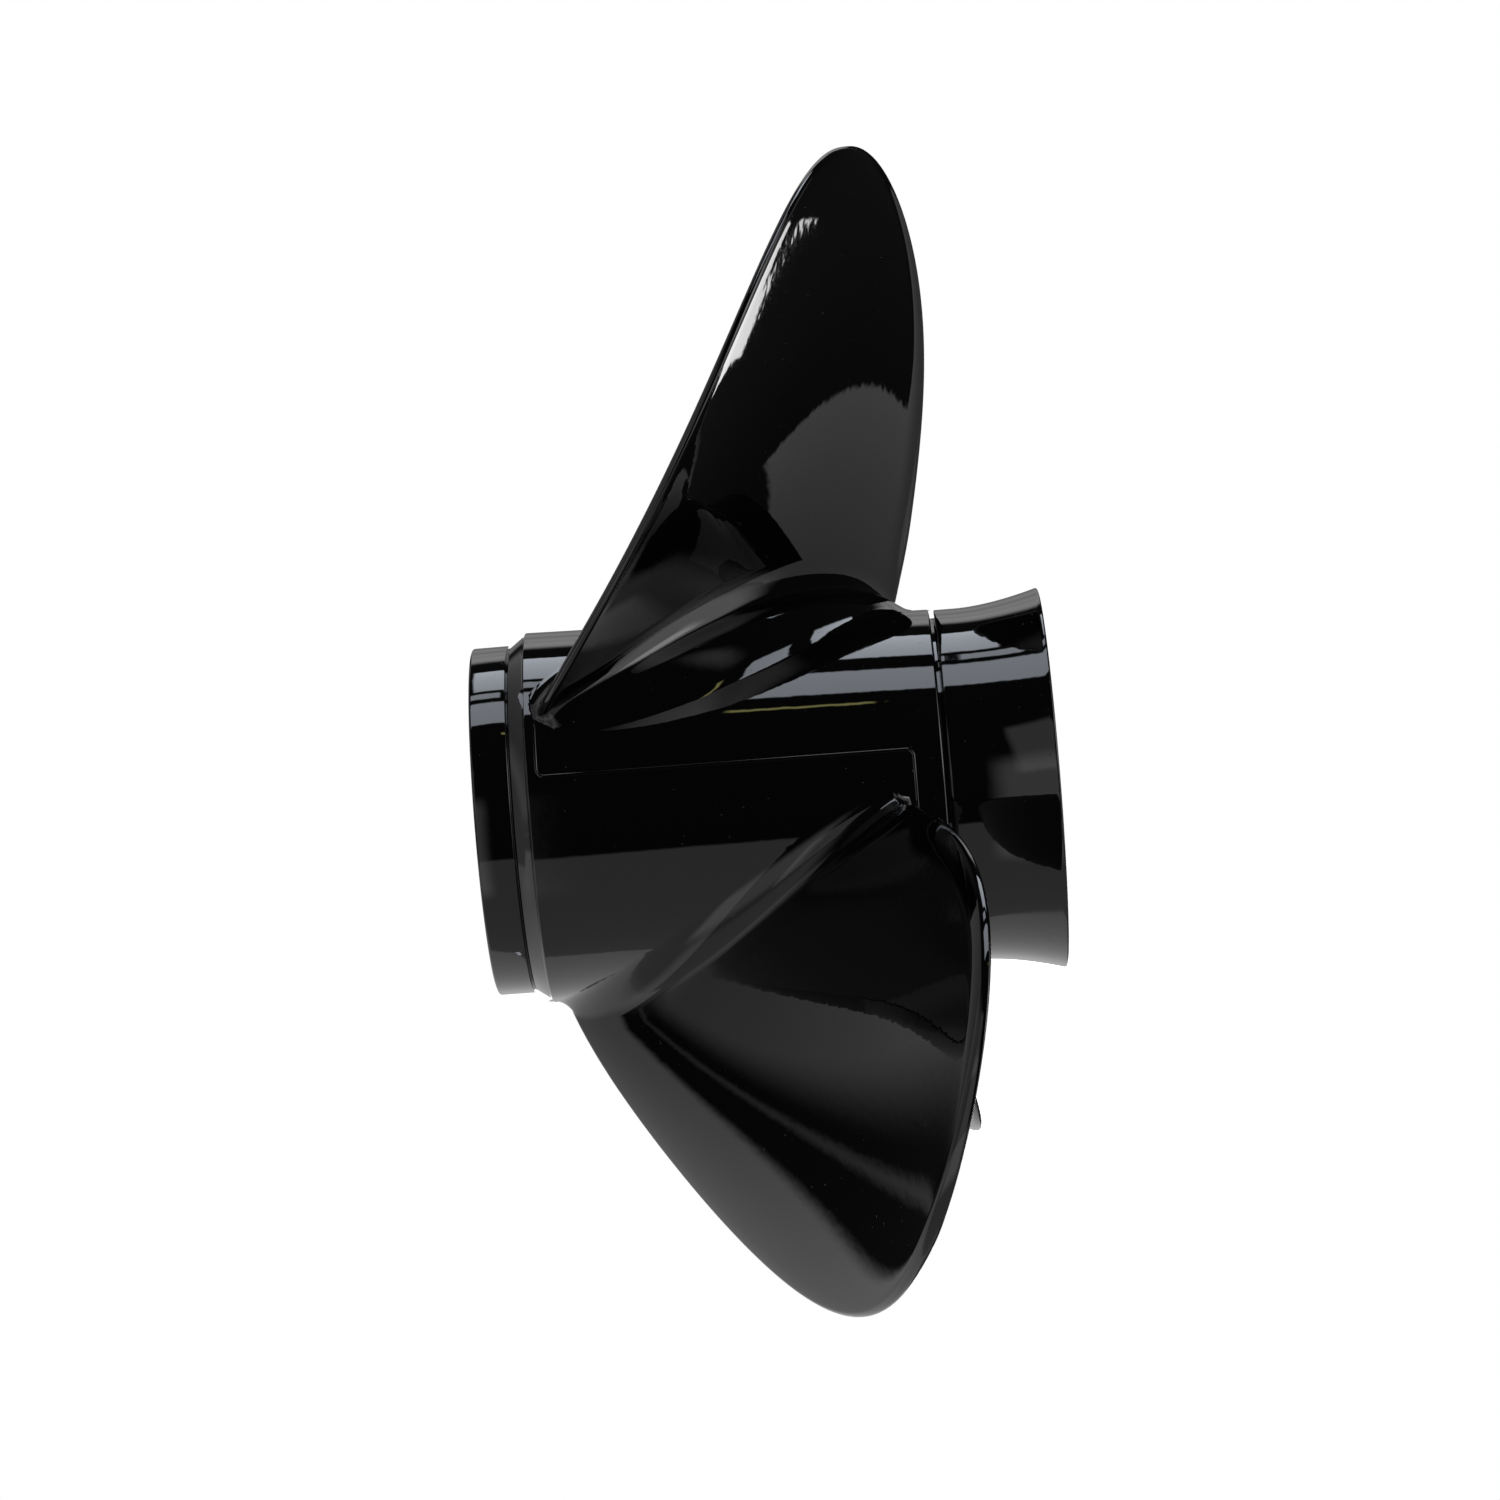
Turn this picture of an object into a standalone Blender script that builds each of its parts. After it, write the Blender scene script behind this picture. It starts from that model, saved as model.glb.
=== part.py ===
"""Three-blade outboard propeller with through-hub exhaust, left-hand rotation, and its hub hardware.

The shaft axis is X. X = 0 is the forward rim of the hub, +X is aft, and the tip of blade 1 points up (+Z).
Sizes below are in millimetres and degrees. Angles about the shaft are measured from +Z towards -Y.
The barrel, blades, ribs and inner hub are one casting, made here as simple bodies with a small gap
between them so that the exhaust passages stay open. The other pieces are the diffuser ring pressed on
the barrel, the rubber cushion and splined bush inside, and the washers and nut that hold it.
"""

import math

import bmesh
import bpy
from mathutils import Matrix, Vector

MM = 0.001
GAP = 0.3  # clearance between pieces that touch

# Blade
TIP_RADIUS = 184.0
PITCH = (433.6, -57.4)  # at the root, and its change from root to tip
BLADE_COUNT = 3
ROOT_RADIUS = 52.1
SECTOR = 360 / BLADE_COUNT
ROOT_STATION = 69.7  # x of mid chord at the root
RAKE = (39.0, 42.1, -33.7)  # x of mid chord added along the span: linear, square and cube terms
ROOT_SKEW = 8.75  # angle of mid chord at the root, ahead of the tip
SKEW = (-3.77, -14.55, 9.57)  # change of that angle along the span
HALF_CHORD = (63.25, 65.1, 24.1)
CHORD_POWER = 1.34  # how square the outline is towards the tip
ROOT_THICKNESS = 12.5
TIP_THICKNESS = 4.4
THICKNESS_POWER = 0.75
BELLY_POWER = 0.9  # how the thickness falls from mid chord to the edges
EDGE_THICKNESS = 2.4
EDGE_ROUNDING = 1.5
FACE_SHARE = 0.5  # share of the thickness on the pressure face's side of the chord surface
CUP_DEPTH = 1.6
CUP_WIDTH = 7.0

# Foot of the blade: fillet radii, and the swelling beside the pressure face as (distance, height)
FILLET_BACK = 8.0
FILLET_FACE = 6.0
FILLET_EDGE = 1.3
FOOT_EDGE = 0.25
SWELLING = ((25, 0), (21, 0.9), (17, 2.7), (13, 4.7), (9.5, 6.1), (6, 6.7), (3, 7.6), (0, 12.5))
SWELLING_RISE = (-0.9, 0.15)  # shares of the half chord where it grows and where it fades
SWELLING_FALL = (0.35, 0.9)

# Barrel
LIP_RADIUS = 50.0
LIP_END = 10.5
LIP_INNER_RADIUS = 46.6
CONE_END = 15.2
BARREL_START = 15.9
BARREL_START_RADIUS = 53.3
BARREL_END = 131.2
BARREL_END_RADIUS = 50.9
BARREL_INNER_RADIUS = 46.0
SPIGOT_RADIUS = 48.3
SPIGOT_END = 141.0

# Inner hub and ribs
HUB_START = 17.0
HUB_END = 109.6
HUB_START_RADIUS = 33.5
HUB_END_RADIUS = 31.5
BORE_START_RADIUS = 27.0
BORE_END_RADIUS = 26.2
BORE_SHOULDER = 102.5
SHOULDER_RADIUS = 21.0
RIB_START = 22.0
RIB_END = 106.0
RIB_THICKNESS = 6.5
RIB_ROUNDING = 2.4
RIB_ANGLE = 60.0  # first rib

# Diffuser ring
RING_START = 132.5
RING_END = 162.8
RING_START_RADIUS = 50.6
RING_END_RADIUS = 54.9
RING_WALL = 2.3
RING_LAND = 6.5  # straight length before the flare
FLARE_POWER = 1.7

# Hub hardware
SPLINE_TEETH = 15
SPLINE_ROOT_RADIUS = 13.2
SPLINE_TIP_RADIUS = 11.9
BUSH_RADIUS = 17.5
BUSH_START = 16.5
BUSH_END = 110.0
CUSHION_START = 24.0
CUSHION_END = 101.0
THRUST_START = 6.0
THRUST_STEP = 9.0
THRUST_END = BUSH_START - GAP
THRUST_RADIUS = 24.0
THRUST_BOSS_RADIUS = 19.5
THRUST_BORE = (15.6, 13.6)
WASHER_START = BUSH_END + GAP
WASHER_END = 115.8
WASHER_RADIUS = 19.5
FLAT_START = WASHER_END + GAP
FLAT_THICKNESS = 2.4
FLAT_RADIUS = 18.0
NUT_START = FLAT_START + FLAT_THICKNESS + GAP
NUT_LENGTH = 16.0
NUT_FLATS = 27.0
NUT_COLLAR = 4.5
THREAD_RADIUS = 9.1
SHAFT_END_BORE = 10.2
INSERT_LENGTH = 3.2
INSERT_RADIUS = 11.3

# Mesh steps
BARREL_STEPS = 72
SPAN_STEPS = 15
CHORD_STEPS = 16
NOSE_STEPS = 2
FOOT_STEPS = 8
TURNED_STEPS = 48


def clear_scene():
    for obj in list(bpy.data.objects):
        bpy.data.objects.remove(obj)


def make_material(name, color, roughness, metallic):
    material = bpy.data.materials.new(name)
    material.use_nodes = True
    shader = material.node_tree.nodes["Principled BSDF"]
    shader.inputs["Base Color"].default_value = (*color, 1)
    shader.inputs["Roughness"].default_value = roughness
    shader.inputs["Metallic"].default_value = metallic
    return material


def on_shaft(x, radius, angle):
    """The point at x along the shaft, at a radius and an angle in radians from +Z towards -Y."""
    return Vector((x, -radius * math.sin(angle), radius * math.cos(angle))) * MM


def make_object(name, bm, material):
    bmesh.ops.remove_doubles(bm, verts=bm.verts, dist=1e-3 * MM)
    bmesh.ops.recalc_face_normals(bm, faces=bm.faces)
    mesh = bpy.data.meshes.new(name)
    bm.to_mesh(mesh)
    bm.free()
    mesh.shade_smooth()
    mesh.set_sharp_from_angle(angle=math.radians(30))
    mesh.materials.append(material)
    obj = bpy.data.objects.new(name, mesh)
    bpy.context.scene.collection.objects.link(obj)
    return obj


def spaced_copies(first, name, angle):
    """Turns the first object to an angle in degrees about the shaft and adds the others round it."""
    first.rotation_euler.x = math.radians(angle)
    for number in range(2, BLADE_COUNT + 1):
        copy = bpy.data.objects.new(f"{name}_{number}", first.data)
        copy.rotation_euler.x = math.radians(angle + SECTOR * (number - 1))
        bpy.context.scene.collection.objects.link(copy)


def turn(profile, steps=TURNED_STEPS):
    """A bmesh made by spinning an outline of (x, radius) points about the shaft.

    An outline that starts and ends on the axis makes a solid plug, and any other is closed into a ring.
    """
    bm = bmesh.new()
    verts = [bm.verts.new(on_shaft(x, radius, 0)) for x, radius in profile]
    edges = [bm.edges.new(pair) for pair in zip(verts, verts[1:])]
    if profile[0][1] > 0:
        edges.append(bm.edges.new((verts[-1], verts[0])))
    bmesh.ops.spin(bm, geom=verts + edges, axis=(1, 0, 0), cent=(0, 0, 0), angle=math.tau, steps=steps)
    return bm


def boolean(target, tool, operation):
    modifier = target.modifiers.new(operation.lower(), "BOOLEAN")
    modifier.operation = operation
    modifier.object = tool
    tool.hide_render = True
    tool.display_type = "WIRE"


# --- blade -------------------------------------------------------------------------------------


def smooth(low, high, value):
    t = min(max((value - low) / (high - low), 0), 1)
    return t * t * (3 - 2 * t)


def section(radius):
    """Mid chord's x and angle, the half chord and the helix angle of the blade at a radius."""
    s = min(max((radius - ROOT_RADIUS) / (TIP_RADIUS - ROOT_RADIUS), 0), 1)
    x = ROOT_STATION + RAKE[0] * s + RAKE[1] * s**2 + RAKE[2] * s**3
    angle = math.radians(ROOT_SKEW + SKEW[0] * s + SKEW[1] * s**2 + SKEW[2] * s**3)
    half = math.sqrt(1 - s**CHORD_POWER) * (HALF_CHORD[0] + HALF_CHORD[1] * s + HALF_CHORD[2] * s**2)
    helix = math.atan2(PITCH[0] + PITCH[1] * s, math.tau * max(radius, ROOT_RADIUS))
    return x, angle, half, helix


def outline_distance(radius, along, half):
    """About how far a point of the blade lies inside the blade's outline."""
    step = 0.05
    inner = section(radius - step)[2]
    slope = (half**2 - inner**2) / step
    size = math.hypot(slope, 2 * along)
    return max(half**2 - along**2, 0) / size if size > 0 else 0


def chord_places(half):
    """Places along a half section, from the leading edge to the trailing edge, closer at the edges."""
    nose = min(EDGE_ROUNDING, half / 2)
    front = [-half + nose * (1 - math.cos(math.pi / 2 * k / NOSE_STEPS)) for k in range(NOSE_STEPS)]
    reach = half - nose
    body = [-reach * math.cos(math.pi * k / CHORD_STEPS) for k in range(CHORD_STEPS + 1)]
    return front + body + [-place for place in reversed(front)]


def blade_point(radius, along, side):
    """(x, angle) of the blade's surface. side is 1 on the pressure face and -1 on the back."""
    x, angle, half, helix = section(radius)
    s = (radius - ROOT_RADIUS) / (TIP_RADIUS - ROOT_RADIUS)
    middle = ROOT_THICKNESS + (TIP_THICKNESS - ROOT_THICKNESS) * min(max(s, 0), 1) ** THICKNESS_POWER
    share = abs(along) / half if half > 0 else 1
    thickness = EDGE_THICKNESS + (middle - EDGE_THICKNESS) * max(1 - share**2, 0) ** BELLY_POWER
    inside = min(outline_distance(radius, along, half) / EDGE_ROUNDING, 1)
    thickness *= math.sqrt(1 - (1 - inside) ** 2)
    across = thickness * (FACE_SHARE if side > 0 else FACE_SHARE - 1)
    cup = max(1 - (half - along) / CUP_WIDTH, 0) * smooth(0.0, 0.25, s)
    across += CUP_DEPTH * cup**2
    x += along * math.sin(helix) + across * math.cos(helix)
    angle += (across * math.sin(helix) - along * math.cos(helix)) / radius
    return x, angle


def barrel_radius(x):
    t = min(max((x - BARREL_START) / (BARREL_END - BARREL_START), 0), 1)
    return BARREL_START_RADIUS + (BARREL_END_RADIUS - BARREL_START_RADIUS) * t


def foot_profile(share, side):
    """(distance, height) points from the barrel up to the blade, at a share of the half chord, -1 to 1."""
    wide = FILLET_FACE if side > 0 else FILLET_BACK
    fillet = wide + (FILLET_EDGE - wide) * abs(share) ** 3
    swell = smooth(*SWELLING_RISE, share) * (1 - smooth(*SWELLING_FALL, share)) if side > 0 else 0
    points = []
    for k, (distance, height) in enumerate(SWELLING):
        t = math.pi / 2 * k / (len(SWELLING) - 1)
        plain = (fillet * (1 - math.sin(t)), fillet * (1 - math.cos(t)))
        points.append((plain[0] + (distance - plain[0]) * swell, plain[1] + (height - plain[1]) * swell))
    return points


def foot_direction(loop, n):
    """The way out from the blade at its root, as a unit vector in (x, distance round the barrel)."""
    ends = []
    for index, side in (loop[n - 1], loop[(n + 1) % len(loop)]):
        along = chord_places(section(ROOT_RADIUS)[2])[index]
        x, angle = blade_point(ROOT_RADIUS + FILLET_FACE, along, side)
        ends.append((x, ROOT_RADIUS * angle))
    ahead, around = ends[1][0] - ends[0][0], ends[1][1] - ends[0][1]
    size = math.hypot(ahead, around)
    return around / size, -ahead / size


def blade_rings():
    """Rings of (x, radius, angle) points from the foot to near the tip, and the tip's point."""
    count = len(chord_places(section(ROOT_RADIUS)[2]))
    loop = [(k, 1) for k in range(count)] + [(k, -1) for k in range(count - 2, 0, -1)]
    columns = []
    for n, (index, side) in enumerate(loop):
        out_x, out_y = foot_direction(loop, n)
        column = []
        for distance, height in foot_profile(2 * index / (count - 1) - 1, side):
            radius = ROOT_RADIUS + height
            for _ in range(4):
                along = chord_places(section(radius)[2])[index]
                x, angle = blade_point(radius, along, side)
                x, angle = x - distance * out_x, angle - distance * out_y / radius
                radius = barrel_radius(x) + GAP + FOOT_EDGE + height
            column.append((x, radius, angle))
        base = column[-1][1]
        for step in range(1, SPAN_STEPS):
            radius = base + (TIP_RADIUS - base) * (1 - (1 - step / SPAN_STEPS) ** 2)
            along = chord_places(section(radius)[2])[index]
            x, angle = blade_point(radius, along, side)
            column.append((x, radius, angle))
        columns.append(column)
    x, angle, _, _ = section(TIP_RADIUS)
    return list(zip(*columns)), (x, TIP_RADIUS, angle)


def add_rings(bm, rings):
    """Quads between rings of bmesh vertices."""
    for lower, upper in zip(rings, rings[1:]):
        for k in range(len(lower)):
            n = (k + 1) % len(lower)
            bm.faces.new((lower[k], lower[n], upper[n], upper[k]))


def add_sole(bm, ring, edge):
    """The underside of the foot, which follows the barrel. edge holds its outline as bmesh vertices."""
    count = len(ring) // 2 + 1
    rows = [[edge[0]] * (FOOT_STEPS + 1)]
    for index in range(1, count - 1):
        face, back = index, len(ring) - index
        row = [edge[face]]
        for k in range(1, FOOT_STEPS):
            t = k / FOOT_STEPS
            x = ring[face][0] + (ring[back][0] - ring[face][0]) * t
            angle = ring[face][2] + (ring[back][2] - ring[face][2]) * t
            row.append(bm.verts.new(on_shaft(x, barrel_radius(x) + GAP, angle)))
        rows.append(row + [edge[back]])
    rows.append([edge[count - 1]] * (FOOT_STEPS + 1))
    for lower, upper in zip(rows, rows[1:]):
        for k in range(FOOT_STEPS):
            # Split along the diagonal that bends least round the barrel.
            for corners in ((lower[k], lower[k + 1], upper[k]), (lower[k + 1], upper[k + 1], upper[k])):
                if len(set(corners)) == 3:
                    bm.faces.new(corners)


def blades(material):
    """The blades, spaced round the shaft and sharing one mesh."""
    bm = bmesh.new()
    rings, tip = blade_rings()
    made = [[bm.verts.new(on_shaft(*point)) for point in ring] for ring in rings]
    edge = [bm.verts.new(on_shaft(x, barrel_radius(x) + GAP, angle)) for x, _, angle in rings[0]]
    add_rings(bm, [edge] + made)
    add_sole(bm, rings[0], edge)
    top = bm.verts.new(on_shaft(*tip))
    for corner, following in zip(made[-1], made[-1][1:] + made[-1][:1]):
        bm.faces.new((corner, following, top))
    spaced_copies(make_object("blade_1", bm, material), "blade", 0)


# --- the rest of the casting -------------------------------------------------------------------


def outer_barrel(material):
    profile = [
        (0, LIP_RADIUS - 0.6),
        (0.6, LIP_RADIUS),
        (LIP_END - 0.7, LIP_RADIUS),
        (LIP_END - 0.2, LIP_RADIUS - 0.5),
        (LIP_END + 0.4, LIP_RADIUS - 0.8),
        (CONE_END, BARREL_START_RADIUS - 0.5),
        (BARREL_START, BARREL_START_RADIUS),
        (BARREL_END, BARREL_END_RADIUS),
        (BARREL_END + 0.5, BARREL_END_RADIUS - 0.6),
        (BARREL_END + 0.5, SPIGOT_RADIUS),
        (SPIGOT_END - 0.4, SPIGOT_RADIUS),
        (SPIGOT_END, SPIGOT_RADIUS - 0.4),
        (SPIGOT_END, BARREL_INNER_RADIUS),
        (0.5, LIP_INNER_RADIUS),
        (0, LIP_INNER_RADIUS + 0.5),
    ]
    return make_object("outer_barrel", turn(profile, BARREL_STEPS), material)


def inner_hub(material):
    profile = [
        (HUB_START, HUB_START_RADIUS - 1.0),
        (HUB_START + 1.0, HUB_START_RADIUS),
        (HUB_END - 1.0, HUB_END_RADIUS),
        (HUB_END, HUB_END_RADIUS - 1.0),
        (HUB_END, SHOULDER_RADIUS + 0.5),
        (HUB_END - 0.5, SHOULDER_RADIUS),
        (BORE_SHOULDER, SHOULDER_RADIUS),
        (BORE_SHOULDER, BORE_END_RADIUS),
        (HUB_START + 1.5, BORE_START_RADIUS),
        (HUB_START, BORE_START_RADIUS + 1.5),
    ]
    return make_object("inner_hub", turn(profile), material)


def ribs(material):
    """The straight ribs between the inner hub and the barrel, with rounded ends, sharing one mesh."""
    low = (HUB_START_RADIUS + GAP, HUB_END_RADIUS + GAP)
    high = math.sqrt((BARREL_INNER_RADIUS - GAP) ** 2 - (RIB_THICKNESS / 2) ** 2) - 0.1
    bm = bmesh.new()
    corners = {}
    for x, bottom in zip((RIB_START, RIB_END), low):
        for y in (-RIB_THICKNESS / 2, RIB_THICKNESS / 2):
            corners[x, y] = [bm.verts.new(Vector((x, y, z)) * MM) for z in (bottom, high)]
    outline = [(RIB_START, -1), (RIB_START, 1), (RIB_END, 1), (RIB_END, -1)]
    pillars = [corners[x, sign * RIB_THICKNESS / 2] for x, sign in outline]
    add_rings(bm, [[p[0] for p in pillars], [p[1] for p in pillars]])
    for level in (0, 1):
        bm.faces.new([p[level] for p in pillars])
    upright = [e for e in bm.edges if abs(e.verts[0].co.z - e.verts[1].co.z) > 5 * MM]
    bmesh.ops.bevel(bm, geom=upright, offset=RIB_ROUNDING * MM, segments=3, affect="EDGES", profile=0.5)
    spaced_copies(make_object("rib_1", bm, material), "rib", RIB_ANGLE)


# --- the other pieces --------------------------------------------------------------------------


def flare(t):
    """The diffuser ring's outer radius, t from 0 at its forward end to 1 at its rim."""
    x = RING_START + (RING_END - RING_START) * t
    rise = max(x - RING_START - RING_LAND, 0) / (RING_END - RING_START - RING_LAND)
    return x, RING_START_RADIUS + (RING_END_RADIUS - RING_START_RADIUS) * rise**FLARE_POWER


def diffuser_ring(material):
    outer = [flare(k / 8) for k in range(1, 8)]
    seat = SPIGOT_RADIUS + GAP
    seat_end = SPIGOT_END + GAP
    inner = [(x, r - RING_WALL) for x, r in outer if x > seat_end + 2]
    profile = [
        (RING_START, seat),
        (RING_START, RING_START_RADIUS - 0.5),
        (RING_START + 0.5, RING_START_RADIUS),
        *outer,
        (RING_END - 0.5, RING_END_RADIUS - 0.1),
        (RING_END, RING_END_RADIUS - 0.6),
        (RING_END, RING_END_RADIUS - RING_WALL + 0.5),
        (RING_END - 0.5, RING_END_RADIUS - RING_WALL - 0.1),
        *reversed(inner),
        (seat_end, BARREL_INNER_RADIUS + 0.2),
        (seat_end, seat),
    ]
    return make_object("diffuser_ring", turn(profile, BARREL_STEPS), material)


def rubber_cushion(material):
    def seat(x):
        t = (x - HUB_START) / (BORE_SHOULDER - HUB_START)
        return BORE_START_RADIUS + (BORE_END_RADIUS - BORE_START_RADIUS) * t - GAP

    groove = 1.2
    bore = BUSH_RADIUS + GAP
    profile = [(CUSHION_START, bore), (CUSHION_START, seat(CUSHION_START) - 3)]
    lands = 4
    pitch = (CUSHION_END - CUSHION_START) / lands
    for k in range(lands):
        front = CUSHION_START + pitch * k + (3 if k == 0 else 1.6)
        back = CUSHION_START + pitch * (k + 1) - (3 if k == lands - 1 else 1.6)
        profile += [(front, seat(front)), (back, seat(back))]
        if k < lands - 1:
            middle = CUSHION_START + pitch * (k + 1)
            profile.append((middle, seat(middle) - groove))
    profile += [(CUSHION_END, seat(CUSHION_END) - 3), (CUSHION_END, bore)]
    return make_object("rubber_cushion", turn(profile), material)


def spline_ring(x, outer_radius, tip, root):
    """(outer circle, splined hole) of points at x. Each tooth has a land, a root and two flanks."""
    per_tooth = 4
    count = SPLINE_TEETH * per_tooth
    outer = [on_shaft(x, outer_radius, math.tau * k / count) for k in range(count)]
    hole = []
    for k in range(count):
        radius = tip if k % per_tooth in (0, 1) else root
        hole.append(on_shaft(x, radius, math.tau * (k + 0.5) / count))
    return outer, hole


def splined_tube(name, sections, material):
    """A tube whose bore is splined. sections are (x, outer radius, tooth tip, tooth root), front to back."""
    bm = bmesh.new()
    outers, holes = [], []
    for x, outer_radius, tip, root in sections:
        outer, hole = spline_ring(x, outer_radius, tip, root)
        outers.append([bm.verts.new(p) for p in outer])
        holes.append([bm.verts.new(p) for p in hole])
    add_rings(bm, outers)
    add_rings(bm, holes)
    add_rings(bm, [outers[0], holes[0]])
    add_rings(bm, [outers[-1], holes[-1]])
    return make_object(name, bm, material)


def splined_bush(material):
    tip, root = SPLINE_TIP_RADIUS, SPLINE_ROOT_RADIUS
    lead = 1.0
    wide = root + 0.4
    sections = [
        (BUSH_START, BUSH_RADIUS - lead, wide, wide + 0.2),
        (BUSH_START + lead, BUSH_RADIUS, wide - 0.9, wide - 0.2),
        (BUSH_START + 2 * lead, BUSH_RADIUS, tip, root),
        (BUSH_END - 2 * lead, BUSH_RADIUS, tip, root),
        (BUSH_END, BUSH_RADIUS - lead, wide, wide + 0.2),
    ]
    return splined_tube("splined_bush", sections, material)


def thrust_washer(material):
    profile = [
        (THRUST_START, THRUST_BORE[0]),
        (THRUST_START, THRUST_BOSS_RADIUS - 0.6),
        (THRUST_START + 0.6, THRUST_BOSS_RADIUS),
        (THRUST_STEP, THRUST_BOSS_RADIUS),
        (THRUST_STEP, THRUST_RADIUS - 0.6),
        (THRUST_STEP + 0.6, THRUST_RADIUS),
        (THRUST_END - 0.6, THRUST_RADIUS),
        (THRUST_END, THRUST_RADIUS - 0.6),
        (THRUST_END, THRUST_BORE[1]),
    ]
    return make_object("thrust_washer", turn(profile), material)


def drive_washer(material):
    """The splined washer behind the bush."""
    tip, root = SPLINE_TIP_RADIUS, SPLINE_ROOT_RADIUS
    sections = [
        (WASHER_START, WASHER_RADIUS - 0.6, tip, root),
        (WASHER_START + 0.6, WASHER_RADIUS, tip, root),
        (WASHER_END - 0.6, WASHER_RADIUS, tip, root),
        (WASHER_END, WASHER_RADIUS - 0.6, tip, root),
    ]
    return splined_tube("drive_washer", sections, material)


def flat_washer(material):
    front, back = FLAT_START, FLAT_START + FLAT_THICKNESS
    profile = [
        (front, SHAFT_END_BORE),
        (front, FLAT_RADIUS - 0.4),
        (front + 0.4, FLAT_RADIUS),
        (back - 0.4, FLAT_RADIUS),
        (back, FLAT_RADIUS - 0.4),
        (back, SHAFT_END_BORE),
    ]
    return make_object("flat_washer", turn(profile), material)


def prop_nut(material):
    """A hexagon nut with a round collar that holds the nylon ring."""
    corner = NUT_FLATS / math.sqrt(3)
    hexagon_end = NUT_START + NUT_LENGTH - NUT_COLLAR
    bm = bmesh.new()
    bmesh.ops.create_circle(bm, cap_ends=True, radius=corner * MM, segments=6)
    made = bmesh.ops.extrude_face_region(bm, geom=list(bm.faces))
    top = [v for v in made["geom"] if isinstance(v, bmesh.types.BMVert)]
    bmesh.ops.translate(bm, verts=top, vec=(0, 0, (hexagon_end - NUT_START) * MM))
    bmesh.ops.rotate(bm, verts=bm.verts, matrix=Matrix.Rotation(math.pi / 2, 3, "Y"))
    bmesh.ops.translate(bm, verts=bm.verts, vec=(NUT_START * MM, 0, 0))
    nut = make_object("prop_nut", bm, material)
    collar_radius = NUT_FLATS / 2 - 0.4
    end = NUT_START + NUT_LENGTH
    collar = [
        (hexagon_end - 3, 0),
        (hexagon_end - 3, collar_radius),
        (end - 1.2, collar_radius),
        (end, collar_radius - 1.2),
        (end, 0),
    ]
    chamfer = [
        (NUT_START - 1, corner - 2.2),
        (NUT_START + 2.4, corner + 1.0),
        (hexagon_end - 2.4, corner + 1.0),
        (hexagon_end + 1, corner - 2.2),
        (hexagon_end + 1, corner + 6),
        (NUT_START - 1, corner + 6),
    ]
    seat = end - INSERT_LENGTH - GAP - 0.6
    bore = [
        (NUT_START - 1, 0),
        (NUT_START - 1, THREAD_RADIUS + 1.6),
        (NUT_START + 0.9, THREAD_RADIUS),
        (seat, THREAD_RADIUS),
        (seat, INSERT_RADIUS + GAP),
        (end - 0.6, INSERT_RADIUS + GAP),
        (end - 0.6, INSERT_RADIUS - 0.5),
        (end + 1, INSERT_RADIUS - 0.5),
        (end + 1, 0),
    ]
    boolean(nut, make_object("nut_chamfer", turn(chamfer), material), "DIFFERENCE")
    boolean(nut, make_object("nut_collar", turn(collar), material), "UNION")
    boolean(nut, make_object("nut_bore", turn(bore), material), "DIFFERENCE")
    return nut


def nylon_insert(material):
    end = NUT_START + NUT_LENGTH - 0.6 - GAP
    profile = [
        (end - INSERT_LENGTH, THREAD_RADIUS + 0.6),
        (end - INSERT_LENGTH, INSERT_RADIUS),
        (end, INSERT_RADIUS),
        (end, THREAD_RADIUS + 0.6),
        (end - 0.8, THREAD_RADIUS - 0.2),
        (end - INSERT_LENGTH + 0.8, THREAD_RADIUS - 0.2),
    ]
    return make_object("nylon_insert", turn(profile), material)


def main():
    clear_scene()
    paint = make_material("gloss_black_paint", (0.012, 0.012, 0.013), 0.12, 0)
    rubber = make_material("rubber", (0.025, 0.025, 0.025), 0.7, 0)
    bronze = make_material("bronze", (0.55, 0.36, 0.16), 0.35, 1)
    steel = make_material("stainless", (0.6, 0.6, 0.61), 0.3, 1)
    nylon = make_material("nylon", (0.75, 0.74, 0.68), 0.5, 0)
    outer_barrel(paint)
    inner_hub(paint)
    ribs(paint)
    blades(paint)
    diffuser_ring(paint)
    rubber_cushion(rubber)
    splined_bush(bronze)
    thrust_washer(bronze)
    drive_washer(steel)
    flat_washer(steel)
    prop_nut(steel)
    nylon_insert(nylon)


main()
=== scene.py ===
"""Looks of the three-blade outboard propeller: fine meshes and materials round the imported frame.

Lengths in this file's tables are millimetres, as in the part's drawings, and angles are degrees measured
about the shaft from +Z towards -Y. The shaft axis is X and +X is aft.
"""

import math

import bmesh
import bpy
from mathutils import Matrix, Vector


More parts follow.
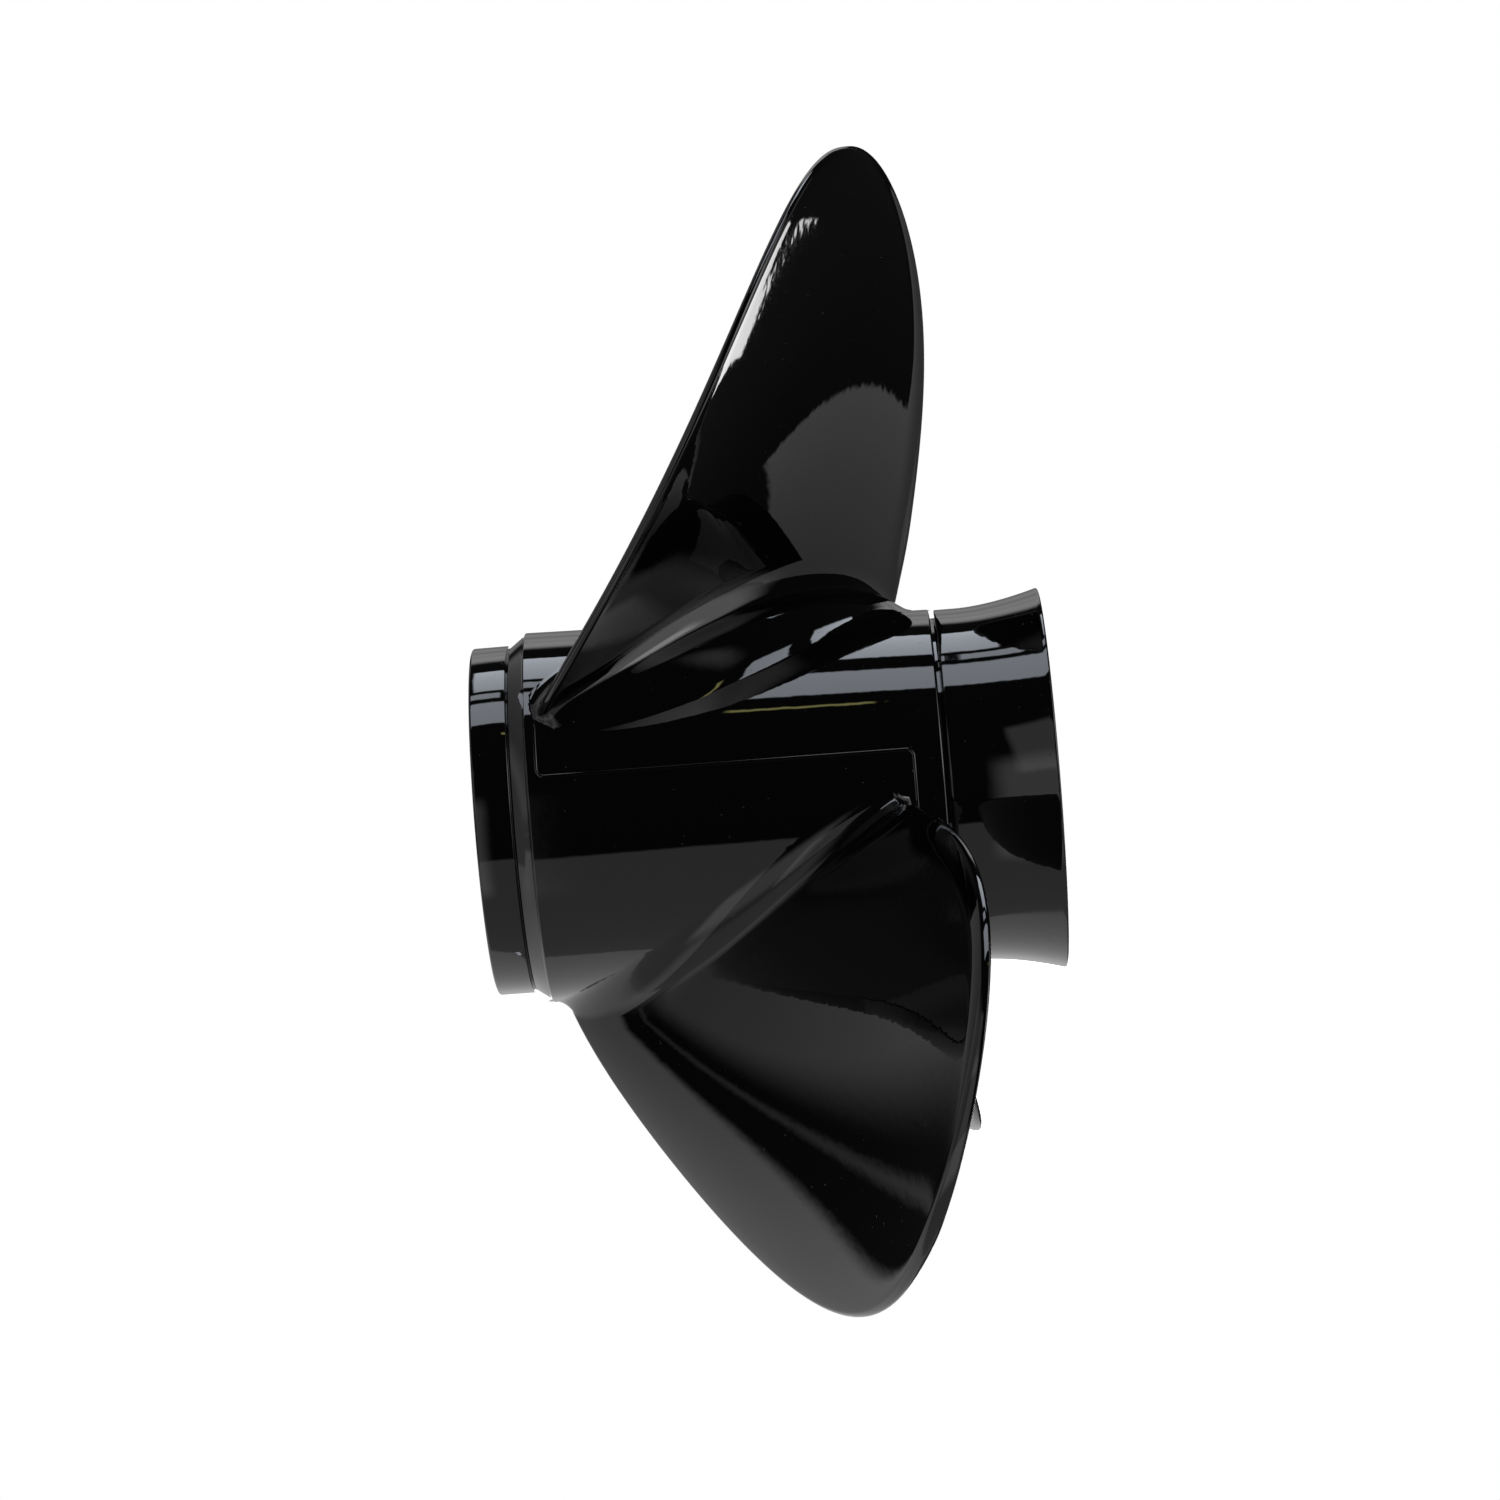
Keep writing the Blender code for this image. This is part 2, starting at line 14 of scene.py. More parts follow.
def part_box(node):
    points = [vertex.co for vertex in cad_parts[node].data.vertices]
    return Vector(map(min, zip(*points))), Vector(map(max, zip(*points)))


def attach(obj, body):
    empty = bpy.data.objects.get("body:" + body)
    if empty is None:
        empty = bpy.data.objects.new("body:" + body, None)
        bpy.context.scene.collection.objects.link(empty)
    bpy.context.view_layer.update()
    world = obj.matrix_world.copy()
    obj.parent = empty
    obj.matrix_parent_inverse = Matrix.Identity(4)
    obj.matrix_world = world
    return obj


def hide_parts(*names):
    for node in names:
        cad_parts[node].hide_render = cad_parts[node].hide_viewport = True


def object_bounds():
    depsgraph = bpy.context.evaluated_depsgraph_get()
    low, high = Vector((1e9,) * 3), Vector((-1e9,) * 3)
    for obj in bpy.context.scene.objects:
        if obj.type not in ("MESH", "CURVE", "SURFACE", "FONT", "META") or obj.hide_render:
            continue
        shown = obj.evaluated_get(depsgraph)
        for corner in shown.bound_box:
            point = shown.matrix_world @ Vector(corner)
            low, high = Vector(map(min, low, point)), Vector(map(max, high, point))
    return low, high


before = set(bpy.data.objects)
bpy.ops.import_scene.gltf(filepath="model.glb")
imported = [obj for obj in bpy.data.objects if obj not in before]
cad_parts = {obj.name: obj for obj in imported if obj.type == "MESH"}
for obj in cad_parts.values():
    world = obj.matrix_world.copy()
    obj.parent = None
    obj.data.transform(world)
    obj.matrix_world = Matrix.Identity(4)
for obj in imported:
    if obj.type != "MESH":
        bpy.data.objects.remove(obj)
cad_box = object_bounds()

MM = 0.001

# Sizes read from the frame
TIP_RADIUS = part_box("blade_1")[1][2] / MM
BARREL_START_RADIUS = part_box("outer_barrel")[1][2] / MM
RING_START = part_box("diffuser_ring")[0][0] / MM
RING_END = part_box("diffuser_ring")[1][0] / MM
RING_END_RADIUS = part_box("diffuser_ring")[1][2] / MM

# Blade
PITCH = (433.6, -57.4)
BLADE_COUNT = 3
SECTOR = 360 / BLADE_COUNT
ROOT_RADIUS = 52.1
ROOT_STATION = 69.7
RAKE = (39.0, 42.1, -33.7)
ROOT_SKEW = 8.75
SKEW = (-3.77, -14.55, 9.57)
HALF_CHORD = (63.25, 65.1, 24.1)
CHORD_POWER = 1.34
ROOT_THICKNESS = 12.5
TIP_THICKNESS = 4.4
THICKNESS_POWER = 0.75
BELLY_POWER = 0.9
EDGE_THICKNESS = 2.4
EDGE_ROUNDING = 1.5
FACE_SHARE = 0.5
CUP_DEPTH = 1.6
CUP_WIDTH = 7.0
CUP_FADE = (0, 0.25)
LEADING_CUP_DEPTH = 0.22
LEADING_CUP_WIDTH = 8.0
LEADING_CUP_FADE = (0.15, 0.4)
OUTLINE_STEP = 0.05

# Foot of the blade
FILLET_BACK = 8.0
FILLET_FACE = 6.0
FILLET_EDGE = 1.3
FILLET_POWER = 3
SKIRT = 3.0
SKIRT_SWELLING = 24.0
SINK = 0.12
SWELLING = ((25, 0), (21, 0.9), (17, 2.7), (13, 4.7), (9.5, 6.1), (6, 6.7), (3, 7.6), (0, 12.5))
SWELLING_RISE = (-0.9, 0.15)
SWELLING_FALL = (0.35, 0.9)
SETTLE_ROUNDS = 4

# Barrel, inner hub and ribs
LIP_RADIUS = 50.0
LIP_END = 10.5
LIP_STEP = 0.9
LIP_STEP_SLOPE = 0.1
LIP_INNER_RADIUS = 46.6
CONE_END = 15.2
CONE_DROP = 0.7
CONE_CORNER = 0.2
BARREL_START = 15.9
BARREL_END = 131.2
BARREL_END_RADIUS = 50.9
BARREL_INNER_RADIUS = 46.0
SPIGOT_RADIUS = 48.3
SPIGOT_END = 141.0
HUB_START = 17.0
HUB_END = 109.6
HUB_START_RADIUS = 33.5
HUB_END_RADIUS = 31.5
BORE_START_RADIUS = 27.0
BORE_END_RADIUS = 26.2
BORE_SHOULDER = 102.5
SHOULDER_RADIUS = 21.0
RIB_START = 22.0
RIB_END = 106.0
RIB_THICKNESS = 6.5
RIB_ANGLE = 60.0
RIB_FILLET = 3.0
RIB_SINK_HUB = 1.5
RIB_SINK_BARREL = 1.2
RIB_FLARE_HUB = 0.5
RIB_FLARE_BARREL = 0.3
RIB_LEVELS = 14
RIB_END_STEPS = 8

# Parting line left by the mould
PARTING_ANGLE = 69.7
PARTING_START = 18.4
PARTING_END = 123.0
PARTING_FRONT_ANGLE = 47.0
PARTING_BACK_ANGLE = 88.5
PARTING_WIDTH = 0.45
PARTING_HEIGHT = 0.22
PARTING_SUNK = 0.1
PARTING_CORNER = 2.0
PARTING_CORNER_STEPS = 6
PARTING_STEP = 1.5
PARTING_SIDES = 12

# Diffuser ring
RING_START_RADIUS = 50.6
RING_WALL = 2.3
RING_LAND = 6.5
FLARE_POWER = 1.7
RING_RIM_ROUNDING = 0.9
RING_STEPS = 20
RING_SEAT_GAP = 0.1
RING_THROAT_GAP = 0.2
SPIGOT_GAP = 0.3
RING_STEP_LAND = 2.0

# Splined bush and drive washer
SPLINE_TEETH = 15
SPLINE_DEPTH = 1.3
SPLINE_SHOULDER = (0.14, 0.3)
SPLINE_BORE = 11.9
TOOTH_STEPS = 20
BUSH_CHAMFER = 1.5
BUSH_MOUTH_MARGIN = 0.1
DRIVE_WASHER_REACH = 0.5

# Rubber cushion
CUSHION_BORE = 17.8
CUSHION_LANDS = 4
CUSHION_GAP = 0.35
CUSHION_LEAD = (3.0, 3.2)
CUSHION_GROOVE = ((-1.8, 0), (0, 1.2), (1.8, 0))

# Thrust washer and flat washer
THRUST_STEP = 9.0
THRUST_BOSS = 19.5
THRUST_BORE = (15.6, 13.6)
FLAT_WASHER_BORE = 10.2

# Nut and nylon ring
THREAD_PITCH = 1.5875
THREAD_DEPTH = 0.85
THREAD_CREST = 8.85
THREAD_CLEAR = 9.1
THREAD_LEAD = 1.2
THREAD_STEPS = 8
THREAD_MARGIN = 0.05
NUT_FLATS = 27.0
NUT_COLLAR = 4.5
NUT_COLLAR_INSET = 0.4
NUT_COLLAR_FOOT = (0.5, 0.3)
NUT_COLLAR_CORNER = ((1.6, 0), (0.7, 0.4), (0.2, 1.1), (0, 1.9))
NUT_ROLLED_LIP = ((0, 11.3), (0.5, 11.0), (0.7, 11.6))
NUT_THREAD_RELIEF = 9.9
NUT_STEPS = 192
CHAMFER_STEPS = 6
FRONT_CHAMFER = (2.4, 1.6, 1.7)
BACK_CHAMFER = (2.0, 2.0, 2.1)
NYLON_SEAT = 4.1
NYLON_BORE = 9.0
NYLON_MOUTH = (0.9, 0.7)

# Mesh steps
TURNED_STEPS = 288
CHORD_STEPS = 44
NOSE_STEPS = 5
SPAN_STEPS = 64
FOOT_STEPS = 18


# --- mesh tools --------------------------------------------------------------------------------


def on_shaft(x, radius, angle):
    """The point at x along the shaft, at a radius and an angle in radians from +Z towards -Y."""
    return Vector((x, -radius * math.sin(angle), radius * math.cos(angle))) * MM


def smooth(low, high, value):
    t = min(max((value - low) / (high - low), 0), 1)
    return t * t * (3 - 2 * t)


def link(name, mesh, material):
    mesh.materials.append(material)
    obj = bpy.data.objects.new(name, mesh)
    bpy.context.scene.collection.objects.link(obj)
    return obj


def make_piece(name, bm, material, sharp=35):
    bmesh.ops.remove_doubles(bm, verts=bm.verts, dist=1e-4 * MM)
    bmesh.ops.recalc_face_normals(bm, faces=bm.faces)
    for vertex in bm.verts:
        # The CAD model's facets lie just inside its curves, and so does its box.
        vertex.co = [min(max(at, low), high) for at, low, high in zip(vertex.co, *cad_box)]
    mesh = bpy.data.meshes.new(name)
    bm.to_mesh(mesh)
    bm.free()
    mesh.shade_smooth()
    mesh.set_sharp_from_angle(angle=math.radians(sharp))
    return link(name, mesh, material)


def rounded(profile, radius, steps=4, closed=True):
    """The outline with each corner replaced by an arc. A point's third value is its own radius."""
    made = []
    count = len(profile)
    for k, point in enumerate(profile):
        here = Vector(point[:2])
        size = point[2] if len(point) > 2 else radius
        if not closed and k in (0, count - 1) or size == 0:
            made.append(tuple(here))
            continue
        before = Vector(profile[k - 1][:2]) - here
        after = Vector(profile[(k + 1) % count][:2]) - here
        half = before.angle(after) / 2
        reach = min(size / math.tan(half), before.length * 0.45, after.length * 0.45)
        arc = reach * math.tan(half)
        centre = here + (before.normalized() + after.normalized()).normalized() * (arc / math.sin(half))
        first = here + before.normalized() * reach - centre
        last = here + after.normalized() * reach - centre
        sweep = first.angle_signed(last)
        for step in range(steps + 1):
            turn_by = Matrix.Rotation(-sweep * step / steps, 2)
            made.append(tuple(centre + turn_by @ first))
    return made


def turned(profile, steps=TURNED_STEPS):
    """A bmesh made by spinning an outline of (x, radius) points, closed into a ring, about the shaft."""
    bm = bmesh.new()
    add_turned(bm, profile, steps)
    return bm


def add_turned(bm, profile, steps=TURNED_STEPS):
    rings = [[bm.verts.new(on_shaft(x, r, math.tau * k / steps)) for k in range(steps)] for x, r in profile]
    add_rings(bm, rings + rings[:1])


def add_rings(bm, rings):
    """Quads between rings of bmesh vertices."""
    for lower, upper in zip(rings, rings[1:]):
        for k in range(len(lower)):
            n = (k + 1) % len(lower)
            bm.faces.new((lower[k], lower[n], upper[n], upper[k]))


# --- blade -------------------------------------------------------------------------------------


def section(radius):
    """Mid chord's x and angle, the half chord and the helix angle of the blade at a radius."""
    s = min(max((radius - ROOT_RADIUS) / (TIP_RADIUS - ROOT_RADIUS), 0), 1)
    x = ROOT_STATION + RAKE[0] * s + RAKE[1] * s**2 + RAKE[2] * s**3
    angle = math.radians(ROOT_SKEW + SKEW[0] * s + SKEW[1] * s**2 + SKEW[2] * s**3)
    half = math.sqrt(1 - s**CHORD_POWER) * (HALF_CHORD[0] + HALF_CHORD[1] * s + HALF_CHORD[2] * s**2)
    helix = math.atan2(PITCH[0] + PITCH[1] * s, math.tau * max(radius, ROOT_RADIUS))
    return x, angle, half, helix


def outline_distance(radius, along, half):
    """About how far a point of the blade lies inside the blade's outline."""
    inner = section(radius - OUTLINE_STEP)[2]
    slope = (half**2 - inner**2) / OUTLINE_STEP
    size = math.hypot(slope, 2 * along)
    return max(half**2 - along**2, 0) / size if size > 0 else 0


def chord_places(half):
    """Places along a half section, from the leading edge to the trailing edge, closer at the edges."""
    nose = min(EDGE_ROUNDING, half / 2)
    front = [-half + nose * (1 - math.cos(math.pi / 2 * k / NOSE_STEPS)) for k in range(NOSE_STEPS)]
    reach = half - nose
    body = [-reach * math.cos(math.pi * k / CHORD_STEPS) for k in range(CHORD_STEPS + 1)]
    return front + body + [-place for place in reversed(front)]


def blade_point(radius, along, side):
    """(x, angle) of the blade's surface. side is 1 on the pressure face and -1 on the back."""
    x, angle, half, helix = section(radius)
    s = min(max((radius - ROOT_RADIUS) / (TIP_RADIUS - ROOT_RADIUS), 0), 1)
    middle = ROOT_THICKNESS + (TIP_THICKNESS - ROOT_THICKNESS) * s**THICKNESS_POWER
    share = abs(along) / half if half > 0 else 1
    thickness = EDGE_THICKNESS + (middle - EDGE_THICKNESS) * max(1 - share**2, 0) ** BELLY_POWER
    inside = min(outline_distance(radius, along, half) / EDGE_ROUNDING, 1)
    thickness *= math.sqrt(1 - (1 - inside) ** 2)
    across = thickness * (FACE_SHARE if side > 0 else FACE_SHARE - 1)
    across += CUP_DEPTH * max(1 - (half - along) / CUP_WIDTH, 0) ** 2 * smooth(*CUP_FADE, s)
    lead = max(1 - (half + along) / LEADING_CUP_WIDTH, 0)
    across += LEADING_CUP_DEPTH * lead**2 * smooth(*LEADING_CUP_FADE, s)
    x += along * math.sin(helix) + across * math.cos(helix)
    angle += (across * math.sin(helix) - along * math.cos(helix)) / radius
    return x, angle


def barrel_radius(x):
    t = min(max((x - BARREL_START) / (BARREL_END - BARREL_START), 0), 1)
    return BARREL_START_RADIUS + (BARREL_END_RADIUS - BARREL_START_RADIUS) * t


def spline(points, t):
    """A point of the smooth curve through the points, t from 0 to 1."""
    place = min(t * (len(points) - 1), len(points) - 1 - 1e-9)
    k = int(place)
    u = place - k
    ends = [Vector(points[min(max(n, 0), len(points) - 1)]) for n in (k - 1, k, k + 1, k + 2)]
    a, b, c, d = ends
    return b + ((c - a) + ((2 * a - 5 * b + 4 * c - d) + (3 * b - 3 * c + d - a) * u) * u) * (u / 2)


def foot_profile(share, side):
    """(distance, height) points from just under the barrel's skin up to the blade.

    share is the place along the chord, from -1 at the leading edge to 1 at the trailing edge.
    """
    wide = FILLET_FACE if side > 0 else FILLET_BACK
    fillet = wide + (FILLET_EDGE - wide) * abs(share) ** FILLET_POWER
    swell = smooth(*SWELLING_RISE, share) * (1 - smooth(*SWELLING_FALL, share)) if side > 0 else 0
    points = [(fillet + SKIRT + SKIRT_SWELLING * swell, -SINK)]
    for k in range(FOOT_STEPS + 1):
        t = k / FOOT_STEPS
        arc = math.pi / 2 * t
        plain = Vector((fillet * (1 - math.sin(arc)), fillet * (1 - math.cos(arc))))
        points.append(tuple(plain + (spline(SWELLING, t) - plain) * swell))
    return points


def foot_direction(loop, n, places):
    """The way out from the blade at its root, as a unit vector in (x, distance round the barrel)."""
    ends = []
    for index, side in (loop[n - 1], loop[(n + 1) % len(loop)]):
        x, angle = blade_point(ROOT_RADIUS + FILLET_FACE, places[index], side)
        ends.append((x, ROOT_RADIUS * angle))
    ahead, around = ends[1][0] - ends[0][0], ends[1][1] - ends[0][1]
    size = math.hypot(ahead, around)
    return -around / size, ahead / size


def blade_column(index, side, out, count):
    """(x, radius, angle) points from the foot to near the tip, at one place along the chord."""
    column = []
    for distance, height in foot_profile(2 * index / (count - 1) - 1, side):
        radius = ROOT_RADIUS + max(height, 0)
        for _ in range(SETTLE_ROUNDS):
            x, angle = blade_point(radius, chord_places(section(radius)[2])[index], side)
            x, angle = x + distance * out[0], angle + distance * out[1] / radius
            radius = barrel_radius(x) + height
        column.append((x, radius, angle))
    base = column[-1][1]
    for step in range(1, SPAN_STEPS):
        radius = base + (TIP_RADIUS - base) * (1 - (1 - step / SPAN_STEPS) ** 2)
        x, angle = blade_point(radius, chord_places(section(radius)[2])[index], side)
        column.append((x, radius, angle))
    return column


def add_blade(bm, turn_by):
    places = chord_places(section(ROOT_RADIUS)[2])
    count = len(places)
    loop = [(k, 1) for k in range(count)] + [(k, -1) for k in range(count - 2, 0, -1)]
    columns = [
        blade_column(index, side, foot_direction(loop, n, places), count)
        for n, (index, side) in enumerate(loop)
    ]
    made = [[bm.verts.new(on_shaft(x, r, a + turn_by)) for x, r, a in ring] for ring in zip(*columns)]
    add_rings(bm, made)
    x, angle, _, _ = section(TIP_RADIUS)
    top = bm.verts.new(on_shaft(x, TIP_RADIUS, angle + turn_by))
    for corner, following in zip(made[-1], made[-1][1:] + made[-1][:1]):
        bm.faces.new((corner, following, top))


# --- casting -----------------------------------------------------------------------------------


def add_barrel(bm):
    profile = [
        (0, LIP_RADIUS, 0.8),
        (LIP_END - LIP_STEP_SLOPE, LIP_RADIUS, 0.4),
        (LIP_END + LIP_STEP_SLOPE, LIP_RADIUS - LIP_STEP, 0.15),
        (CONE_END, BARREL_START_RADIUS - CONE_DROP, 0.3),
        (BARREL_START - CONE_CORNER, BARREL_START_RADIUS, 0.5),
        (BARREL_END, BARREL_END_RADIUS, 0.6),
        (BARREL_END, SPIGOT_RADIUS, 0.2),
        (SPIGOT_END, SPIGOT_RADIUS, 0.4),
        (SPIGOT_END, BARREL_INNER_RADIUS, 0.2),
        (0, LIP_INNER_RADIUS, 0.8),
    ]
    add_turned(bm, rounded(profile, 0.5))


def add_inner_hub(bm):
    profile = [
        (HUB_START, HUB_START_RADIUS),
        (HUB_END, HUB_END_RADIUS),
        (HUB_END, SHOULDER_RADIUS, 0.5),
        (BORE_SHOULDER, SHOULDER_RADIUS, 0),
        (BORE_SHOULDER, BORE_END_RADIUS, 0),
        (HUB_START, BORE_START_RADIUS),
    ]
    add_turned(bm, rounded(profile, 1.2), TURNED_STEPS // 2)


def add_rib(bm, turn_by):
    """A rib with a round nose and tail, which flares into the hub and the barrel."""
    low, high = HUB_END_RADIUS - RIB_SINK_HUB, BARREL_INNER_RADIUS + RIB_SINK_BARREL
    rings = []
    for level in range(RIB_LEVELS + 1):
        radius = low + (high - low) * level / RIB_LEVELS
        from_hub = radius - (HUB_START_RADIUS - RIB_FLARE_HUB)
        from_barrel = BARREL_INNER_RADIUS + RIB_FLARE_BARREL - radius
        edge = min(from_hub, from_barrel)
        inside = min(max(edge, 0) / RIB_FILLET, 1)
        flare = RIB_FILLET * (1 - math.sqrt(max(1 - (1 - inside) ** 2, 0)))
        half = RIB_THICKNESS / 2 + flare
        ring = []
        for end, sign in ((RIB_END, 1), (RIB_START, -1)):
            for k in range(RIB_END_STEPS + 1):
                arc = math.pi * (k / RIB_END_STEPS - 0.5)
                x = end - sign * RIB_THICKNESS / 2 + sign * half * math.cos(arc)
                y = sign * half * math.sin(arc)
                ring.append(on_shaft(x, math.sqrt(radius**2 - y**2), math.asin(y / radius) + turn_by))
        rings.append([bm.verts.new(p) for p in ring])
    add_rings(bm, rings)
    bm.faces.new(rings[0])
    bm.faces.new(rings[-1])


def parting_path():
    """(x, angle) points of a parting line, from one blade's leading edge to the next one's trailing edge."""
    to_mm = math.radians(ROOT_RADIUS)
    corners = [
        (PARTING_START, PARTING_FRONT_ANGLE * to_mm),
        (PARTING_START, PARTING_ANGLE * to_mm),
        (PARTING_END, PARTING_ANGLE * to_mm),
        (PARTING_END, PARTING_BACK_ANGLE * to_mm),
    ]
    bent = rounded(corners, PARTING_CORNER, PARTING_CORNER_STEPS, closed=False)
    path = []
    for (ax, ay), (bx, by) in zip(bent, bent[1:]):
        steps = max(round(math.dist((ax, ay), (bx, by)) / PARTING_STEP), 1)
        path += [(ax + (bx - ax) * k / steps, ay + (by - ay) * k / steps) for k in range(steps)]
    path.append(bent[-1])
    return [(x, arc / ROOT_RADIUS) for x, arc in path]


def add_parting_line(bm, turn_by):
    """A thin ridge along the parting path: an oval cord sunk a little way into the skin."""
    path = parting_path()
    rings = []
    for k, (x, angle) in enumerate(path):
        before, after = path[max(k - 1, 0)], path[min(k + 1, len(path) - 1)]
        ahead, around = after[0] - before[0], (after[1] - before[1]) * ROOT_RADIUS
        size = math.hypot(ahead, around)
        ring = []
        for step in range(PARTING_SIDES):
            arc = math.tau * step / PARTING_SIDES
            side = PARTING_WIDTH * math.cos(arc)
            height = PARTING_HEIGHT * math.sin(arc) - PARTING_SUNK
            px, pa = x - side * around / size, angle + side * ahead / size / ROOT_RADIUS
            ring.append(bm.verts.new(on_shaft(px, barrel_radius(px) + height, pa + turn_by)))
        rings.append(ring)
    add_rings(bm, rings)
    bm.faces.new(rings[0])
    bm.faces.new(rings[-1])


def make_casting(material):
    bm = bmesh.new()
    add_barrel(bm)
    add_inner_hub(bm)
    for k in range(BLADE_COUNT):
        turn_by = math.radians(SECTOR * k)
        add_blade(bm, turn_by)
        add_rib(bm, turn_by + math.radians(RIB_ANGLE))
        add_parting_line(bm, turn_by)
    casting = make_piece("propeller_casting", bm, material)
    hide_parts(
        "outer_barrel", "inner_hub", "rib_1", "rib_2", "rib_3", "blade_1", "blade_2", "blade_3"
    )
    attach(casting, "propeller")


def make_diffuser_ring(material):
    outer, inner = [], []
    for k in range(1, RING_STEPS + 1):
        x = RING_START + (RING_END - RING_START) * k / RING_STEPS
        rise = max(x - RING_START - RING_LAND, 0) / (RING_END - RING_START - RING_LAND)
        radius = RING_START_RADIUS + (RING_END_RADIUS - RING_START_RADIUS) * rise**FLARE_POWER
        rounding = RING_RIM_ROUNDING if k == RING_STEPS else 0
        outer.append((x, radius, rounding))
        if x > SPIGOT_END + RING_STEP_LAND:
            inner.append((x, radius - RING_WALL, rounding))
    seat = SPIGOT_RADIUS + RING_SEAT_GAP
    profile = [
        (RING_START, seat, 0),
        (RING_START, RING_START_RADIUS, 0.6),
        *outer,
        *reversed(inner),
        (SPIGOT_END + SPIGOT_GAP, BARREL_INNER_RADIUS + RING_THROAT_GAP, 0.2),
        (SPIGOT_END + SPIGOT_GAP, seat, 0),
    ]
    ring = make_piece("diffuser_ring_fine", turned(rounded(profile, 0.5)), material)
    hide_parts("diffuser_ring")
    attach(ring, "propeller")


# --- hub hardware ------------------------------------------------------------------------------


def span(node):
    """The lowest and highest x of a CAD node, and its largest radius, in millimetres."""
    low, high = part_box(node)
    return low[0] / MM, high[0] / MM, high[2] / MM


def carry(piece, node, body):
    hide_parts(node)
    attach(piece, body)


def tooth(angle):
    """How far the spline stands back at an angle about the shaft, 0 on a tooth's land and 1 in its root."""
    phase = angle * SPLINE_TEETH / math.tau % 1
    low, high = SPLINE_SHOULDER
    return smooth(low, high, phase) * (1 - smooth(1 - high, 1 - low, phase))


def add_splined(bm, profile, bore_radius):
    """Like add_turned, with the points inside bore_radius cut back between the spline teeth."""
    steps = SPLINE_TEETH * TOOTH_STEPS
    cuts = [SPLINE_DEPTH * tooth(math.tau * (k + 0.5) / steps) for k in range(steps)]
    rings = []
    for x, radius in profile:
        share = 1 if radius < bore_radius else 0
        spun = [on_shaft(x, radius + share * cut, math.tau * k / steps) for k, cut in enumerate(cuts)]
        rings.append([bm.verts.new(point) for point in spun])
    add_rings(bm, rings + rings[:1])


def make_bush(material):
    start, end, radius = span("splined_bush")
    mouth = SPLINE_BORE + BUSH_CHAMFER
    profile = [
        (start, radius, 1.0),
        (end, radius, 1.0),
        (end, mouth, 0.3),
        (end - BUSH_CHAMFER, SPLINE_BORE, 0.4),
        (start + BUSH_CHAMFER, SPLINE_BORE, 0.4),
        (start, mouth, 0.3),
    ]
    bm = bmesh.new()
    add_splined(bm, rounded(profile, 0.5), mouth + BUSH_MOUTH_MARGIN)
    carry(make_piece("splined_bush_fine", bm, material), "splined_bush", "hub")


def make_cushion(material):
    start, end, _ = span("rubber_cushion")
    length = (end - start) / CUSHION_LANDS
    run, drop = CUSHION_LEAD

    def seat(x):
        t = (x - HUB_START) / (BORE_SHOULDER - HUB_START)
        return BORE_START_RADIUS + (BORE_END_RADIUS - BORE_START_RADIUS) * t - CUSHION_GAP

    profile = [
        (start, CUSHION_BORE, 0.6),
        (start, seat(start) - drop, 1.2),
        (start + run, seat(start + run), 1.2),
    ]
    for k in range(1, CUSHION_LANDS):
        middle = start + length * k
        for offset, depth in CUSHION_GROOVE:
            profile.append((middle + offset, seat(middle) - depth, 0.5))
    profile += [
        (end - run, seat(end - run), 1.2),
        (end, seat(end) - drop, 1.2),
        (end, CUSHION_BORE, 0.6),
    ]
    bm = turned(rounded(profile, 0.5), TURNED_STEPS // 2)
    carry(make_piece("rubber_cushion_fine", bm, material), "rubber_cushion", "hub")


def make_thrust_washer(material):
    start, end, radius = span("thrust_washer")
    wide, narrow = THRUST_BORE
    profile = [
        (start, wide, 0.3),
        (start, THRUST_BOSS, 0.8),
        (THRUST_STEP, THRUST_BOSS, 1.0),
        (THRUST_STEP, radius, 0.7),
        (end, radius, 0.7),
        (end, narrow, 0.3),
    ]
    bm = turned(rounded(profile, 0.5), TURNED_STEPS // 2)
    carry(make_piece("thrust_washer_fine", bm, material), "thrust_washer", "thrust_washer")


def make_drive_washer(material):
    start, end, radius = span("drive_washer")
    profile = [
        (start, radius, 0.7),
        (end, radius, 0.7),
        (end, SPLINE_BORE, 0.2),
        (start, SPLINE_BORE, 0.2),
    ]
    bm = bmesh.new()
    add_splined(bm, rounded(profile, 0.5), SPLINE_BORE + DRIVE_WASHER_REACH)
    carry(make_piece("drive_washer_fine", bm, material), "drive_washer", "aft_washers")


def make_flat_washer(material):
    start, end, radius = span("flat_washer")
    profile = [
        (start, FLAT_WASHER_BORE, 0.2),
        (start, radius, 0.4),
        (end, radius, 0.7),
        (end, FLAT_WASHER_BORE, 0.2),
    ]
    bm = turned(rounded(profile, 0.5), TURNED_STEPS // 2)
    carry(make_piece("flat_washer_fine", bm, material), "flat_washer", "aft_washers")


def thread_radius(x, angle):
    phase = (x / THREAD_PITCH + angle / math.tau) % 1
    return THREAD_CREST + THREAD_DEPTH * (1 - abs(2 * phase - 1))


